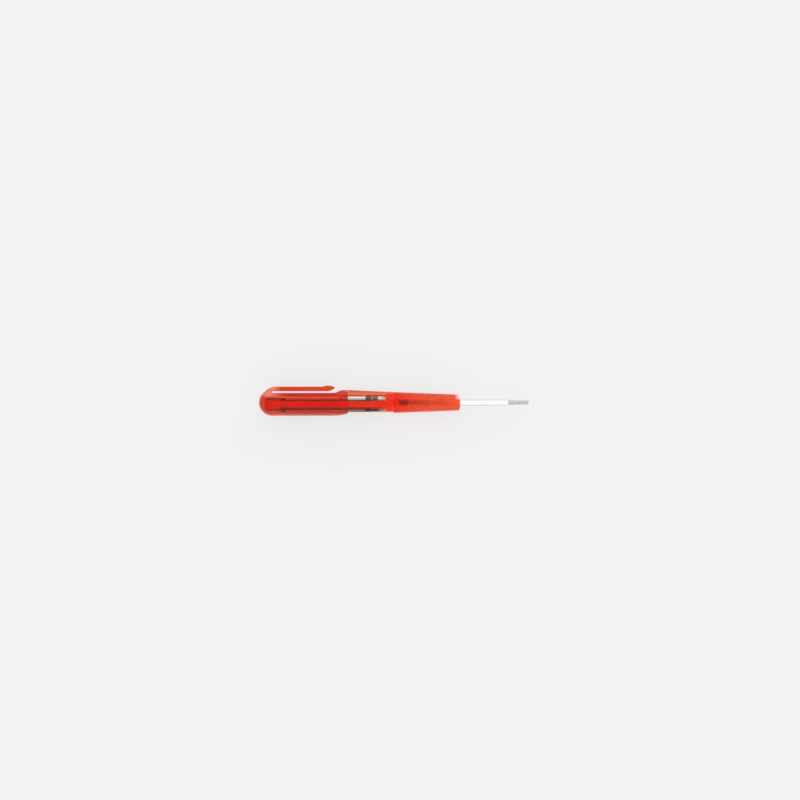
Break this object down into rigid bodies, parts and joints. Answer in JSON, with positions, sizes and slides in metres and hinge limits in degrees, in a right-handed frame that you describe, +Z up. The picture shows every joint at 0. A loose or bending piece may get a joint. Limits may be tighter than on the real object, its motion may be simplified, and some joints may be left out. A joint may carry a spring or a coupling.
{
  "type": "pocket screwdriver",
  "caption": "Pen-shaped pocket screwdriver: a swap blade held in a magnetic nose grip, spare double-ended blades in a grooved magazine, and a pull-off cap with a spring clip.",
  "frame": {"origin": "on the tool's axis at the middle of the nose grip's length, where the fingers hold it", "axes": "+X along the tool's axis from the cap's dome to the driving tip, +Y towards the pocket clip, +Z up"},
  "size_m": [0.1482, 0.0166, 0.0146],
  "materials": {
    "red_plastic": "clear red moulded plastic, polished",
    "magnet": "dull nickel-plated magnet",
    "blade_steel": "plated shaft with blackened drive, neck and tip at each end"
  },
  "bodies": {
    "handle": {"nose_grip": "red_plastic", "blade_magazine": "red_plastic", "retaining_magnet": "magnet", "stored_blade_1": "blade_steel", "stored_blade_2": "blade_steel", "stored_blade_3": "blade_steel", "stored_blade_4": "blade_steel"},
    "cap": {"cap": "red_plastic"},
    "clip": {"pocket_clip": "red_plastic"},
    "blade": {"driver_blade": "blade_steel"}
  },
  "joints": [
    {"name": "cap_pull", "type": "slide", "parent": "handle", "child": "cap", "axis": [-1, 0, 0], "range_m": [0, 0.052]},
    {"name": "blade_pull", "type": "slide", "parent": "handle", "child": "blade", "axis": [1, 0, 0], "range_m": [0, 0.03]},
    {"name": "clip_flex", "type": "hinge", "parent": "cap", "child": "clip", "pos_m": [-0.08673, 0.00615, 0], "axis": [0, 0, 1], "range_deg": [0, 4], "stiffness_Nm_per_rad": 1.2}
  ]
}
